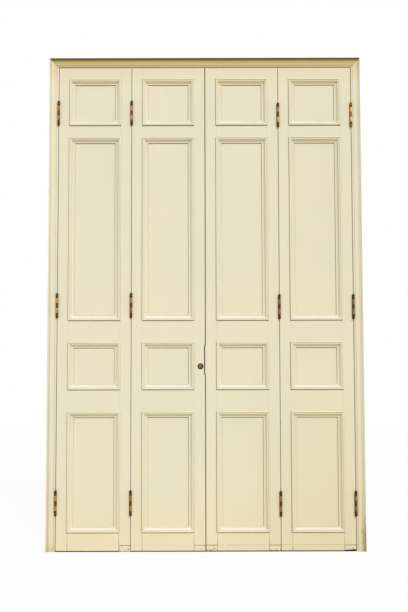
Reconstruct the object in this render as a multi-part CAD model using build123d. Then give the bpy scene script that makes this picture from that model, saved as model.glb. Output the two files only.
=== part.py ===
"""A four-leaf folding wooden door in its own mitred timber frame.

Two pairs of narrow panelled leaves meet in the middle.  The outer leaf of each pair hangs on a jamb
and the inner leaf hangs on the outer one, all on five-knuckle butt hinges whose knuckles stand proud
of the front.  Millimetres, +Z up, the front faces -Y.  The origin lies on the wall side of the left
jamb, at floor level and halfway through the frame's depth.
"""
import os

from build123d import *

# Frame: two jambs and a head of one moulded section: a raised outer edge with a hollow inside it, a flat,
# a quirk and a bead at the opening, and a stop behind the leaves.
frame_face = 46.0
frame_depth = 100.0
raised_edge = 8.0
raised_edge_width = 2.5
hollow_width = 18.0
hollow_bulge = 1.4
stop_width = 12.0
stop_clearance = 2.0
bead_width = 9.5
bead_drop = 2.6
bead_crown = 5.2
quirk_width = 1.4
quirk_depth = 0.8

# Leaves, counted from the left, and the gaps round them.
leaf_width = 363.0
leaf_thickness = 36.0
hinge_gap = 2.0
meeting_gap = 3.5
floor_gap = 5.0
head_gap = 3.0
leaf_arris = 1.0

# Stiles, rails and panel openings of a leaf, from the floor up.
stile_width = 55.5
bottom_rail = 90.0
low_opening = 578.0
lower_lock_rail = 113.0
lock_opening = 228.0
upper_lock_rail = 112.0
tall_opening = 911.0
frieze_rail = 65.0
top_opening = 231.0
top_rail = 58.0

# Flat panels in grooves, and the stub tenons of the rails.
panel_thickness = 12.0
groove_depth = 10.0
panel_play = 1.0
tenon_thickness = 12.0
tenon_length = 34.0
tenon_shoulder = 12.0

# Front mouldings: a proud nosing that laps the stiles and rails, a step down to a band, a hollow and a
# fillet at the panel.
moulding_lap = 3.0
moulding_width = 31.0
moulding_proud = 6.0
nosing_width = 5.0
nosing_edge = 2.2
nosing_crown = 0.4
nosing_fall = 0.6
band_width = 7.0
band_height = 2.5
moulding_hollow = 0.2
inner_fillet_width = 4.0
inner_fillet_height = 4.2

# Back mouldings: a plain splayed bead inside each opening.
back_moulding_width = 14.0
back_moulding_edge = 2.5

# Butt hinges with five knuckles.
hinge_height = 120.0
knuckle_count = 5
knuckle_radius = 5.9
knuckle_sides = 12
knuckle_gap = 0.5
knuckle_stand_off = 0.6
hinge_plate_thickness = 2.3
hinge_plate_gap = 0.4
hinge_plate_reach = 27.0
hinge_fit = 0.3
pin_head_radius = 4.0
pin_head_height = 1.0
pin_head_sides = 12
left_pair_hinge_heights = (234.0, 1197.0, 2161.0)
right_pair_hinge_heights = (229.0, 1189.0, 2150.0)

# Lock: a round cylinder on the second leaf, with a rebated edge and a keeper strip on the third.
lock_height = 897.0
lock_setback = 22.5
escutcheon_radius = 14.0
escutcheon_height = 2.6
cylinder_radius = 9.5
cylinder_depth = 30.0
cylinder_recess = 0.8
lock_sides = 48
keyhole_width = 2.6
keyhole_length = 8.5
keyhole_depth = 6.0
keeper_below = 41.0
keeper_above = 104.0
keeper_width = 4.0
notch_depth = 5.5
keeper_inset = 1.0
notch_clearance = 1.5
forend_thickness = 2.5
forend_width = 13.0
forend_inset = 3.0
forend_margin = 8.0

# Meeting stiles: the third leaf's rear half laps behind the second leaf's, so the gap isn't open through.
meeting_rebate_width = 10.0
meeting_rebate_front = 20.0
meeting_rebate_clearance = 1.5

# Let-in pieces at the feet of some stiles, as (leaf, side).  The first one reaches lower than its leaf,
# and the last one has lost its lower edge.
foot_repair_height = 27.0
foot_repairs = (
    ("leaf_1", "right"),
    ("leaf_2", "right"),
    ("leaf_3", "left"),
    ("leaf_3", "right"),
    ("leaf_4", "right"),
)
worn_foot = ("leaf_4", "right")
worn_foot_loss = 5.0
long_foot = ("leaf_1", "right")
long_foot_reach = 3.5

# How far a cut runs past the face that it opens, and the middle of a quarter turn along either axis.
overshoot = 1.0
quarter_middle = 0.5**0.5

# Sizes that follow.
opening_width = leaf_width - 2 * stile_width
rail_heights = (bottom_rail, lower_lock_rail, upper_lock_rail, frieze_rail, top_rail)
opening_heights = (low_opening, lock_opening, tall_opening, top_opening)
leaf_height = sum(rail_heights) + sum(opening_heights)
leaf_low = floor_gap
leaf_high = leaf_low + leaf_height
frame_height = leaf_high + head_gap + frame_face
front_y = -frame_depth / 2
leaf_back_y = front_y + leaf_thickness
panel_front_y = front_y + (leaf_thickness - panel_thickness) / 2
panel_back_y = panel_front_y + panel_thickness
panel_depth = panel_front_y - front_y
tenon_front_y = front_y + (leaf_thickness - tenon_thickness) / 2

leaf_names = ("leaf_1", "leaf_2", "leaf_3", "leaf_4")
leaf_left = {}
next_left = frame_face + hinge_gap
for leaf_name, gap_after in zip(leaf_names, (hinge_gap, meeting_gap, hinge_gap, hinge_gap)):
    leaf_left[leaf_name] = next_left
    next_left += leaf_width + gap_after
right_jamb_face = next_left
frame_width = right_jamb_face + frame_face

# Hinge lines, each with the x of its pins.
hinge_lines = {
    "left_jamb": leaf_left["leaf_1"] - hinge_gap / 2,
    "left_fold": leaf_left["leaf_2"] - hinge_gap / 2,
    "right_fold": leaf_left["leaf_4"] - hinge_gap / 2,
    "right_jamb": right_jamb_face - hinge_gap / 2,
}
hinge_axis_y = front_y - knuckle_radius - knuckle_stand_off
plate_back_y = front_y + hinge_plate_reach
hinge_heights = {
    "left_jamb": left_pair_hinge_heights,
    "left_fold": left_pair_hinge_heights,
    "right_fold": right_pair_hinge_heights,
    "right_jamb": right_pair_hinge_heights,
}


def block(x0, x1, y0, y1, z0, z1):
    """A box between two corners."""
    return Pos(x0, y0, z0) * Box(x1 - x0, y1 - y0, z1 - z0, align=(Align.MIN, Align.MIN, Align.MIN))


def section_face(curves):
    """The face inside a closed run of lines and arcs."""
    return make_face([edge for curve in curves for edge in curve.edges()])


def prism_along_y(points, y0, y1):
    """A polygon given as (x, z) points, extruded from y0 to y1."""
    plane = Plane(origin=(0, y0, 0), x_dir=(1, 0, 0), z_dir=(0, -1, 0))
    return extrude(plane * make_face(Polyline(*points, close=True)), y0 - y1)


def save(name, solids):
    """One sub-part, of one or more separate solids, as its own file."""
    shapes = [solid for shape in solids for solid in shape.solids()]
    export_step(shapes[0] if len(shapes) == 1 else Compound(children=shapes), f"parts/{name}.step")


# Frame


def frame_section():
    """The section of jambs and head as (across, through), from the wall side round to it again."""
    stop_y = leaf_back_y + stop_clearance
    quirk_left = frame_face - bead_width - quirk_width
    quirk_right = frame_face - bead_width
    back_y = front_y + frame_depth
    edge_y = front_y - raised_edge
    crest = Vector(raised_edge_width, edge_y)
    slope = Vector(hollow_width, front_y) - crest
    hollow_middle = crest + slope * 0.5 + slope.rotate(Axis.Z, 90).normalized() * hollow_bulge
    return [
        Polyline((0, back_y), (0, edge_y), (raised_edge_width, edge_y)),
        ThreePointArc((raised_edge_width, edge_y), hollow_middle, (hollow_width, front_y)),
        Polyline(
            (hollow_width, front_y),
            (quirk_left, front_y),
            (quirk_left, front_y + quirk_depth),
            (quirk_right, front_y + quirk_depth),
            (quirk_right, front_y + bead_drop / 2),
        ),
        ThreePointArc(
            (quirk_right, front_y + bead_drop / 2),
            (frame_face - bead_crown, front_y),
            (frame_face, front_y + bead_drop),
        ),
        Polyline(
            (frame_face, front_y + bead_drop),
            (frame_face, stop_y),
            (frame_face + stop_width, stop_y),
            (frame_face + stop_width, back_y),
            (0, back_y),
        ),
    ]


def jamb_bar():
    """The left jamb before its mitre and recesses."""
    return extrude(section_face(frame_section()), frame_height)


def head_bar():
    """The head before its mitres: the same section, lying under the frame's top edge."""
    plane = Plane(origin=(0, 0, frame_height), x_dir=(0, 0, -1), z_dir=(1, 0, 0))
    return extrude(plane * section_face(frame_section()), frame_width)


def corner_wedge():
    """What lies above the left corner's mitre: the jamb loses it and the head's end keeps only it."""
    reach = frame_face + stop_width + overshoot
    top = frame_height + overshoot
    corners = ((-overshoot, top), (reach, frame_height - reach), (reach, top))
    return prism_along_y(corners, front_y - raised_edge - overshoot, front_y + frame_depth + overshoot)


def mirrored(shape):
    """The same shape at the other end of the frame."""
    return mirror(shape, about=Plane(origin=(frame_width / 2, 0, 0), x_dir=(0, 1, 0), z_dir=(1, 0, 0)))


def make_frame():
    left_jamb = jamb_bar() - corner_wedge()
    middle = block(
        frame_face + stop_width, frame_width - frame_face - stop_width,
        front_y - raised_edge - overshoot, front_y + frame_depth + overshoot,
        leaf_high - frame_face, frame_height + overshoot,
    )
    head = head_bar() & (corner_wedge() + middle + mirrored(corner_wedge()))
    save("left_jamb", [left_jamb - hinge_recesses("left_jamb", -1)])
    save("right_jamb", [mirrored(left_jamb) - hinge_recesses("right_jamb", 1)])
    save("head", [head])


# Hinges


def plate_span(line, side):
    """The x range of one plate of a hinge: side -1 is left of the pin and 1 is right of it."""
    near = hinge_lines[line] + side * hinge_plate_gap / 2
    far = near + side * hinge_plate_thickness
    return min(near, far), max(near, far)


def hinge_recesses(line, side):
    """The shallow recesses that let one side's plates into the timber's edge."""
    x0, x1 = plate_span(line, side)
    recesses = []
    for height in hinge_heights[line]:
        z0 = height - hinge_height / 2 - hinge_fit
        z1 = height + hinge_height / 2 + hinge_fit
        recesses.append(block(x0, x1, front_y - overshoot, plate_back_y + hinge_fit, z0, z1))
    return recesses


def hinge_side(line, side, height):
    """One plate with its own knuckles: the left plate carries the odd ones and both ends."""
    x0, x1 = plate_span(line, side)
    low = height - hinge_height / 2
    pitch = hinge_height / knuckle_count
    root_y = hinge_axis_y + knuckle_radius + hinge_fit
    barrel = Pos(hinge_lines[line], hinge_axis_y) * RegularPolygon(knuckle_radius, knuckle_sides)
    tongue = Pos((x0 + x1) / 2, (hinge_axis_y + root_y) / 2) * Rectangle(x1 - x0, root_y - hinge_axis_y)
    knuckle = barrel + tongue
    shape = block(x0, x1, root_y, plate_back_y, low, low + hinge_height)
    for index in range(0 if side < 0 else 1, knuckle_count, 2):
        z0 = low + index * pitch + (knuckle_gap / 2 if index > 0 else 0)
        z1 = low + (index + 1) * pitch - (knuckle_gap / 2 if index < knuckle_count - 1 else 0)
        shape += Pos(0, 0, z0) * extrude(knuckle, z1 - z0)
    return shape


def hinge_pin_heads(line, height):
    """The two ends of a pin, seated on the end knuckles."""
    outline = Pos(hinge_lines[line], hinge_axis_y) * RegularPolygon(pin_head_radius, pin_head_sides)
    head = extrude(outline, pin_head_height)
    low = height - hinge_height / 2
    return [Pos(0, 0, low - pin_head_height) * head, Pos(0, 0, low + hinge_height) * head]


def make_hinges():
    for line, heights in hinge_heights.items():
        save(f"{line}_hinge_left_plates", [hinge_side(line, -1, height) for height in heights])
        save(f"{line}_hinge_right_plates", [hinge_side(line, 1, height) for height in heights])
        save(f"{line}_hinge_pins", [head for height in heights for head in hinge_pin_heads(line, height)])


# Leaves

opening_lows = []
rail_lows = []
next_low = leaf_low
for rail_height, opening_height in zip(rail_heights, (*opening_heights, 0)):
    rail_lows.append(next_low)
    opening_lows.append(next_low + rail_height)
    next_low += rail_height + opening_height
opening_lows.pop()


def opening_left(leaf):
    return leaf_left[leaf] + stile_width


def panel_block(leaf, low, height, edge):
    """A panel, or its housing, that reaches the given distance past its opening on all four edges."""
    x0 = opening_left(leaf) - edge
    x1 = opening_left(leaf) + opening_width + edge
    return block(x0, x1, panel_front_y, panel_back_y, low - edge, low + height + edge)


def panel_housings(leaf):
    openings = zip(opening_lows, opening_heights)
    return [panel_block(leaf, low, height, groove_depth) for low, height in openings]


def tenon(leaf, side, low, height):
    """One end of a rail inside its stile, set in from the rail's top and bottom edges."""
    x0 = opening_left(leaf) - tenon_length
    if side == "right":
        x0 = opening_left(leaf) + opening_width
    return block(x0, x0 + tenon_length, tenon_front_y, tenon_front_y + tenon_thickness,
                 low + tenon_shoulder, low + height - tenon_shoulder)


def make_rails(leaf):
    rails = []
    for low, height in zip(rail_lows, rail_heights):
        x0 = opening_left(leaf)
        rail = block(x0, x0 + opening_width, front_y, leaf_back_y, low, low + height) - panel_housings(leaf)
        rails.append(rail + tenon(leaf, "left", low, height) + tenon(leaf, "right", low, height))
    save(f"{leaf}_rails", rails)


def stile_bar(leaf, side, low, high):
    """A stile's plain length, with small arrises on its outer edge."""
    outer = leaf_left[leaf]
    inner = outer + stile_width
    if side == "right":
        outer = leaf_left[leaf] + leaf_width
        inner = outer - stile_width
    bevel = leaf_arris if side == "left" else -leaf_arris
    section = Polyline(
        (outer, front_y + leaf_arris),
        (outer + bevel, front_y),
        (inner, front_y),
        (inner, leaf_back_y),
        (outer + bevel, leaf_back_y),
        (outer, leaf_back_y - leaf_arris),
        close=True,
    )
    return Pos(0, 0, low) * extrude(make_face(section), high - low, dir=(0, 0, 1))


stile_hinges = {
    ("leaf_1", "left"): ("left_jamb", 1),
    ("leaf_1", "right"): ("left_fold", -1),
    ("leaf_2", "left"): ("left_fold", 1),
    ("leaf_3", "right"): ("right_fold", -1),
    ("leaf_4", "left"): ("right_fold", 1),
    ("leaf_4", "right"): ("right_jamb", -1),
}
lock_edge_x = leaf_left["leaf_2"] + leaf_width
keeper_edge_x = leaf_left["leaf_3"]
rebate_y = front_y + meeting_rebate_front
keeper_low = lock_height - keeper_below
keeper_high = lock_height + keeper_above
lock_centre_x = lock_edge_x - lock_setback


def meeting_rebate(low, high):
    """What the second leaf's edge loses to the third leaf's tongue."""
    return block(
        lock_edge_x - meeting_rebate_width, lock_edge_x + overshoot,
        rebate_y - meeting_rebate_clearance, leaf_back_y + overshoot,
        low - overshoot, high + overshoot,
    )


def meeting_tongue(low, high):
    """The third leaf's tongue, which laps behind the second leaf's edge and keeps the gap's width."""
    return block(keeper_edge_x - meeting_rebate_width, keeper_edge_x, rebate_y, leaf_back_y, low, high)


def lock_cuts():
    """The shortened stretch of the second leaf's edge, its forend's seat and the cylinder's hole."""
    notch_x = lock_edge_x - notch_depth
    notch = block(
        notch_x, lock_edge_x + overshoot,
        front_y - overshoot, leaf_back_y + overshoot,
        keeper_low - notch_clearance, keeper_high + notch_clearance,
    )
    hole = turned_disc(cylinder_radius, front_y - overshoot, front_y + cylinder_depth)
    return [notch, forend_block(), hole]


def turned_disc(radius, front, back):
    """A round part of the lock between two depths, on the lock's axis."""
    outline = extrude(RegularPolygon(radius, lock_sides), back - front)
    return Pos(lock_centre_x, front, lock_height) * Rot(-90, 0, 0) * outline


def forend_block():
    notch_x = lock_edge_x - notch_depth
    return block(
        notch_x - forend_thickness, notch_x,
        front_y + forend_inset, front_y + forend_inset + forend_width,
        keeper_low + forend_margin, keeper_high - forend_margin,
    )


def fitted_stile(leaf, side, low, high):
    """A stretch of a stile with the rebate or tongue that the meeting stiles have."""
    bar = stile_bar(leaf, side, low, high)
    if (leaf, side) == ("leaf_2", "right"):
        bar -= meeting_rebate(low, high)
    if (leaf, side) == ("leaf_3", "left"):
        bar += meeting_tongue(low, high)
    return bar


def make_stile(leaf, side):
    repaired = (leaf, side) in foot_repairs
    low = leaf_low + (foot_repair_height if repaired else 0)
    stile = fitted_stile(leaf, side, low, leaf_high) - panel_housings(leaf)
    stile -= [tenon(leaf, side, rail_low, height) for rail_low, height in zip(rail_lows, rail_heights)]
    if (leaf, side) in stile_hinges:
        stile -= hinge_recesses(*stile_hinges[(leaf, side)])
    if (leaf, side) == ("leaf_2", "right"):
        stile -= lock_cuts()
    save(f"{leaf}_{side}_stile", [stile])


def make_foot_repairs():
    repairs = []
    for leaf, side in foot_repairs:
        low = leaf_low
        if (leaf, side) == worn_foot:
            low += worn_foot_loss
        if (leaf, side) == long_foot:
            low -= long_foot_reach
        piece = fitted_stile(leaf, side, low, leaf_low + foot_repair_height)
        repairs.append(piece - tenon(leaf, side, rail_lows[0], bottom_rail))
    save("stile_foot_repairs", repairs)


def make_panels(leaf):
    edge = groove_depth - panel_play
    openings = zip(opening_lows, opening_heights)
    save(f"{leaf}_panels", [panel_block(leaf, low, height, edge) for low, height in openings])


# Mouldings


def front_moulding_section():
    """The section as (inwards, outwards) from the opening's edge at the leaf's face."""
    inner = moulding_width - moulding_lap
    nosing_end = nosing_width - moulding_lap
    band_end = nosing_end + band_width
    hollow_end = inner - inner_fillet_width
    panel = -panel_depth
    fillet_top = panel + inner_fillet_height
    band_corner = Vector(band_end, band_height)
    chord = Vector(hollow_end, fillet_top) - band_corner
    hollow_middle = band_corner + chord * 0.5 - chord.rotate(Axis.Z, 90) * moulding_hollow
    return [
        Polyline((0, panel), (0, 0), (-moulding_lap, 0), (-moulding_lap, nosing_edge)),
        ThreePointArc(
            (-moulding_lap, nosing_edge),
            (nosing_crown - (nosing_crown + moulding_lap) * quarter_middle,
             nosing_edge + (moulding_proud - nosing_edge) * quarter_middle),
            (nosing_crown, moulding_proud),
        ),
        Polyline((nosing_crown, moulding_proud), (nosing_end, moulding_proud - nosing_fall),
                 (nosing_end, band_height), (band_end, band_height)),
        ThreePointArc((band_end, band_height), hollow_middle, (hollow_end, fillet_top)),
        Polyline((hollow_end, fillet_top), (inner, fillet_top), (inner, panel), (0, panel)),
    ]


def back_moulding_section():
    """A splayed bead as (inwards, outwards) from the opening's edge at the leaf's back."""
    return [
        Polyline(
            (0, -panel_depth),
            (0, 0),
            (back_moulding_edge, 0),
            (back_moulding_width, -panel_depth + back_moulding_edge),
            (back_moulding_width, -panel_depth),
            close=True,
        )
    ]


def mitred_length(section, lap, width, along, across):
    """The lowest of an opening's four lengths, centred on it and cut to 45 degrees at both ends."""
    plane = Plane(origin=(-along / 2 - lap, 0, -across / 2), x_dir=(0, 0, 1), z_dir=(1, 0, 0))
    bar = extrude(plane * section_face(section), along + 2 * lap)
    outer_x, outer_z = along / 2 + lap, -across / 2 - lap
    inner_x, inner_z = outer_x - width, outer_z + width
    corners = ((-outer_x, outer_z), (outer_x, outer_z), (inner_x, inner_z), (-inner_x, inner_z))
    return bar & prism_along_y(corners, -2 * panel_depth, 2 * panel_depth)


def moulding_ring(section, lap, width, height):
    """The four mitred lengths round an opening as one, centred on the origin, -Y out of the leaf."""
    lower = mitred_length(section, lap, width, opening_width, height)
    side = Rot(0, 90, 0) * mitred_length(section, lap, width, height, opening_width)
    half = lower + side
    return half + Rot(0, 180, 0) * half


def make_mouldings():
    front, back = front_moulding_section(), back_moulding_section()
    front_rings = [moulding_ring(front, moulding_lap, moulding_width, height) for height in opening_heights]
    back_rings = [moulding_ring(back, 0, back_moulding_width, height) for height in opening_heights]
    middles = [low + height / 2 for low, height in zip(opening_lows, opening_heights)]
    for leaf in leaf_names:
        x = opening_left(leaf) + opening_width / 2
        to_front = [Pos(x, front_y, z) for z in middles]
        to_back = [Pos(x, leaf_back_y, z) * Rot(0, 0, 180) for z in middles]
        save(f"{leaf}_front_mouldings", [place * ring for place, ring in zip(to_front, front_rings)])
        save(f"{leaf}_back_mouldings", [place * ring for place, ring in zip(to_back, back_rings)])


# Lock


def make_lock():
    rim_front = front_y - escutcheon_height
    plug_front = rim_front + cylinder_recess
    rim = turned_disc(escutcheon_radius, rim_front, front_y)
    rim -= turned_disc(cylinder_radius, rim_front - overshoot, front_y + overshoot)
    plug = turned_disc(cylinder_radius, plug_front, front_y + cylinder_depth)
    keyhole = Box(keyhole_width, 2 * keyhole_depth, keyhole_length)
    plug -= Pos(lock_centre_x, plug_front, lock_height) * keyhole
    keeper = block(
        keeper_edge_x - keeper_width, keeper_edge_x,
        front_y + keeper_inset, rebate_y,
        keeper_low, keeper_high,
    )
    save("lock_escutcheon", [rim])
    save("lock_cylinder", [plug])
    save("lock_forend", [forend_block()])
    save("keeper_strip", [keeper])


os.makedirs("parts", exist_ok=True)
make_frame()
make_hinges()
for leaf in leaf_names:
    make_stile(leaf, "left")
    make_stile(leaf, "right")
    make_rails(leaf)
    make_panels(leaf)
make_foot_repairs()
make_mouldings()
make_lock()
print("overall", frame_width, "x", frame_depth + raised_edge, "x", frame_height, "mm")
print("leaf", leaf_width, "x", leaf_thickness, "x", leaf_height, "mm")
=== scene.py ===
# %% [markdown]
# # A four-leaf folding door in old cream oil paint
#
# This scene dresses a folding wooden door: four narrow panelled leaves in a mitred frame, hung on brass
# butt hinges.  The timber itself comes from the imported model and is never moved.  Here it gets its paint,
# its soft edges, finer mouldings, its hinges and its lock.  Lengths below are in millimetres where a name
# ends in _MM or _mm, and in metres elsewhere.

# %% Load the frame
import math

import bpy
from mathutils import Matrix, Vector


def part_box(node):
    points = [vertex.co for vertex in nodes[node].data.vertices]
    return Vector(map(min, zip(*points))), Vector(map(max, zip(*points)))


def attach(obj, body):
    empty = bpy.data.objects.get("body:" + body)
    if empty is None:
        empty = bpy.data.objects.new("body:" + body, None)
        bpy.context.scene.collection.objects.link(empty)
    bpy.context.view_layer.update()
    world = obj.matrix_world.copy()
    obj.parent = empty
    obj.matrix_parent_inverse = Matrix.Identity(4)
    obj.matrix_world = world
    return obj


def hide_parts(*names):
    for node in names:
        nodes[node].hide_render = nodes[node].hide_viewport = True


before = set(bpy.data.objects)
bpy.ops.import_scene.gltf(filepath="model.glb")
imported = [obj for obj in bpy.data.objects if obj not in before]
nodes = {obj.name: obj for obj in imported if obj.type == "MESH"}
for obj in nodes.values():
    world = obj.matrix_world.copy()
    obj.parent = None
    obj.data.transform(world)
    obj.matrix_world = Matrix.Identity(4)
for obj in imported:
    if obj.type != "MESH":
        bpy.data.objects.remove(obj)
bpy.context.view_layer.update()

# %% [markdown]
# Everything is placed from the frame's own boxes, so a change of a size in the model moves the scene's
# pieces with it.  The leaves' front plane is where the stiles' front faces are.

# %% Key places, read from the frame
MM = 0.001
LEAVES = ("leaf_1", "leaf_2", "leaf_3", "leaf_4")
HINGE_LINES = ("left_jamb", "left_fold", "right_fold", "right_jamb")

frame_low, frame_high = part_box("left_jamb")[0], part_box("right_jamb")[1]
head_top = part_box("head")[1].z
head_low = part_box("head")[0].z
leaf_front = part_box("leaf_1_left_stile")[0].y
leaf_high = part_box("leaf_1_left_stile")[1].z
door_middle = (frame_low.x + frame_high.x) / 2
print("leaf front at y", round(leaf_front, 4), "door middle at x", round(door_middle, 4))

# %% [markdown]
# ## Camera
#
# The picture was taken from about four metres away, a little under a metre above the floor and tilted up
# by a few degrees, so that the door narrows slightly towards its top.  A lens of 47.6 mm on a 36 mm
# frame gives the same spread.

# %% The camera
CAMERA_DISTANCE = 3.987
CAMERA_HEIGHT = 0.954
CAMERA_TILT = math.radians(3.432)
CAMERA_ROLL = math.radians(0.13)
CAMERA_OFFSET = -0.007
LENS_MM = 47.6
SENSOR_MM = 36.0

camera_data = bpy.data.cameras.new("picture_camera")
camera_data.lens = LENS_MM
camera_data.sensor_width = SENSOR_MM
camera = bpy.data.objects.new("picture_camera", camera_data)
camera.location = (door_middle + CAMERA_OFFSET, leaf_front - CAMERA_DISTANCE, CAMERA_HEIGHT)
camera.rotation_euler = (math.pi / 2 + CAMERA_TILT, CAMERA_ROLL, 0)
bpy.context.scene.collection.objects.link(camera)
bpy.context.scene.camera = camera
bpy.context.scene.view_settings.view_transform = "Standard"
print("camera at", tuple(round(value, 3) for value in camera.location))

# %% [markdown]
# ## Colours and shader nodes
#
# Colours are written as sRGB hex, as a paint chart gives them, and one function turns them to the linear
# values that shaders work with.  The other functions add a shader node, or a few, with settings and links.
# Sums, noise, ranges and mixes are all that the paint below is made from.

# %% Colour and node helpers
def paint_colour(code):
    """An sRGB hex code as linear red, green, blue and alpha."""
    channels = [int(code[start:start + 2], 16) / 255 for start in (1, 3, 5)]
    return [c / 12.92 if c <= 0.04045 else ((c + 0.055) / 1.055) ** 2.4 for c in channels] + [1.0]


def add_node(tree, kind, inputs=(), **settings):
    """A shader node: settings are its properties, and each input takes a value or another node's socket."""
    made = tree.nodes.new(kind)
    for name, value in settings.items():
        setattr(made, name, value)
    for key, value in dict(inputs).items():
        if isinstance(value, bpy.types.NodeSocket):
            tree.links.new(value, made.inputs[key])
        else:
            made.inputs[key].default_value = value
    return made


def new_material(name):
    """An empty node material with its output, ready for a shader."""
    material = bpy.data.materials.new(name)
    material.use_nodes = True
    material.node_tree.nodes.clear()
    return material, material.node_tree


def maths(tree, operation, *values):
    """The result of a Math node on one or two values or sockets."""
    return add_node(tree, "ShaderNodeMath", dict(enumerate(values)), operation=operation).outputs[0]


def larger(tree, first, second):
    """The larger of two values or sockets."""
    return maths(tree, "MAXIMUM", first, second)


def times(tree, *factors):
    """The product of several values or sockets."""
    product = factors[0]
    for factor in factors[1:]:
        product = maths(tree, "MULTIPLY", product, factor)
    return product


def noise(tree, place, scale, detail, roughness=0.5):
    """Noise at a place: scale is its grains in a metre, and detail its finer layers."""
    return add_node(tree, "ShaderNodeTexNoise", {"Vector": place, "Scale": scale, "Detail": detail,
                                                 "Roughness": roughness}).outputs[0]


def in_range(tree, value, low, high, to_low=0.0, to_high=1.0):
    """A value mapped from one range to another and held inside it."""
    return add_node(tree, "ShaderNodeMapRange", {"Value": value, "From Min": low, "From Max": high,
                                                 "To Min": to_low, "To Max": to_high}, clamp=True).outputs[0]


def near_line(tree, value, line, half_width):
    """1 on a line, falling to 0 at twice the half width from it."""
    apart = maths(tree, "ABSOLUTE", maths(tree, "SUBTRACT", value, line))
    return in_range(tree, apart, half_width, 2 * half_width, 1.0, 0.0)


def blend_colours(tree, amount, first, second):
    """A colour mix whose amount and colours are values or sockets."""
    return add_node(tree, "ShaderNodeMix", {0: amount, 6: first, 7: second}, data_type="RGBA").outputs[2]


def mix_shaders(tree, amount, first, second):
    """A node that mixes two shader nodes: at 0 all of the first, at 1 all of the second."""
    return add_node(tree, "ShaderNodeMixShader", {0: amount, 1: first.outputs[0], 2: second.outputs[0]})


print("middle grey is", round(paint_colour("#808080")[0], 3), "in linear light")

# %% [markdown]
# ## Floor, backdrop and light
#
# The studio is plain: a floor that the camera sees as white, a white backdrop, and soft light.  One broad
# lamp stands high in front and a little to the right.  It brightens what faces up, such as the lower
# mouldings of each panel, and leaves what faces down in a warm shade.  It is a Sun with a wide angle,
# because a Sun lights the whole height of a door evenly, where a near lamp would burn out its top.  A weak
# one behind the door keeps its back from going flat.
#
# The floor keeps the door's soft shadow, and a painted contact shadow darkens it where the door nearly
# touches it: that makes the dark line under the leaves.  An ambient occlusion node with a short reach finds
# those places.

# %% Floor and world
FLOOR_SIZE = 14.0
BACKGROUND = paint_colour("#FFFFFF")
FLOOR_COLOUR = paint_colour("#E6E2D6")
SHADOWED_WHITE = paint_colour("#F4F4F4")
SHADOW_SHARE = 0.08
CONTACT_SHADE = paint_colour("#0C0A06")
CONTACT_REACH = 30 * MM
CONTACT_RANGE = (0.32, 0.62)  # occlusion, from all in the contact shade to clear of it


def background_rays(tree):
    """1 for rays that should find the plain background: the camera's, reflections and seen through glass."""
    path = add_node(tree, "ShaderNodeLightPath")
    seen = larger(tree, path.outputs["Is Camera Ray"], path.outputs["Is Glossy Ray"])
    return larger(tree, seen, path.outputs["Is Transmission Ray"])


def studio_floor_material():
    """White to the camera and in reflections, with the shadow kept and a painted contact shadow under the
    door, and a plain pale floor to the light.
    """
    material, tree = new_material("studio_floor")
    glow = add_node(tree, "ShaderNodeEmission", {"Color": BACKGROUND, "Strength": 1.0})
    shadowed = add_node(tree, "ShaderNodeBsdfDiffuse", {"Color": SHADOWED_WHITE})
    white = mix_shaders(tree, SHADOW_SHARE, glow, shadowed)
    near = add_node(tree, "ShaderNodeAmbientOcclusion", {"Distance": CONTACT_REACH}, samples=16)
    painted_contact_shadow = add_node(tree, "ShaderNodeBsdfDiffuse", {"Color": CONTACT_SHADE})
    pale = mix_shaders(tree, in_range(tree, near.outputs["AO"], *CONTACT_RANGE), painted_contact_shadow, white)
    plain = add_node(tree, "ShaderNodeBsdfDiffuse", {"Color": FLOOR_COLOUR})
    mix = mix_shaders(tree, background_rays(tree), plain, pale)
    add_node(tree, "ShaderNodeOutputMaterial", {"Surface": mix.outputs[0]})
    return material


bpy.ops.object.select_all(action="DESELECT")
bpy.ops.mesh.primitive_plane_add(size=FLOOR_SIZE, location=(door_middle, 0, 0))
floor = bpy.context.active_object
floor.name = "studio_floor"
floor.data.materials.append(studio_floor_material())

WORLD_STRENGTH = 0.55
world = bpy.data.worlds.new("studio_world")
world.use_nodes = True
world.node_tree.nodes.clear()
bpy.context.scene.world = world
world_tree = world.node_tree
backdrop = add_node(world_tree, "ShaderNodeBackground", {"Color": BACKGROUND, "Strength": 1.0})
soft_light = add_node(world_tree, "ShaderNodeBackground", {"Color": BACKGROUND, "Strength": WORLD_STRENGTH})
world_mix = mix_shaders(world_tree, background_rays(world_tree), soft_light, backdrop)
add_node(world_tree, "ShaderNodeOutputWorld", {"Surface": world_mix.outputs[0]})
print("floor", FLOOR_SIZE, "m wide, world light", WORLD_STRENGTH)

# %% The lamps
KEY_STRENGTH = 1.74
BACK_STRENGTH = 0.5
LAMP_DISTANCE = 5.0
LAMP_AIM_HEIGHT = 1.2


def broad_lamp(name, right, up, strength, width):
    """A Sun whose light comes from this far right of the front and this high, in degrees."""
    data = bpy.data.lights.new(name, "SUN")
    data.energy = strength
    data.angle = math.radians(width)
    lamp = bpy.data.objects.new(name, data)
    aside, above = math.radians(right), math.radians(up)
    towards = Vector((math.cos(above) * math.sin(aside), -math.cos(above) * math.cos(aside), math.sin(above)))
    lamp.location = Vector((door_middle, 0, LAMP_AIM_HEIGHT)) + LAMP_DISTANCE * towards
    lamp.rotation_euler = towards.to_track_quat("Z", "Y").to_euler()
    bpy.context.scene.collection.objects.link(lamp)


broad_lamp("high_front_lamp", right=24, up=42, strength=KEY_STRENGTH, width=10)
broad_lamp("back_lamp", right=160, up=40, strength=BACK_STRENGTH, width=30)
print("key lamp strength", KEY_STRENGTH)
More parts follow.
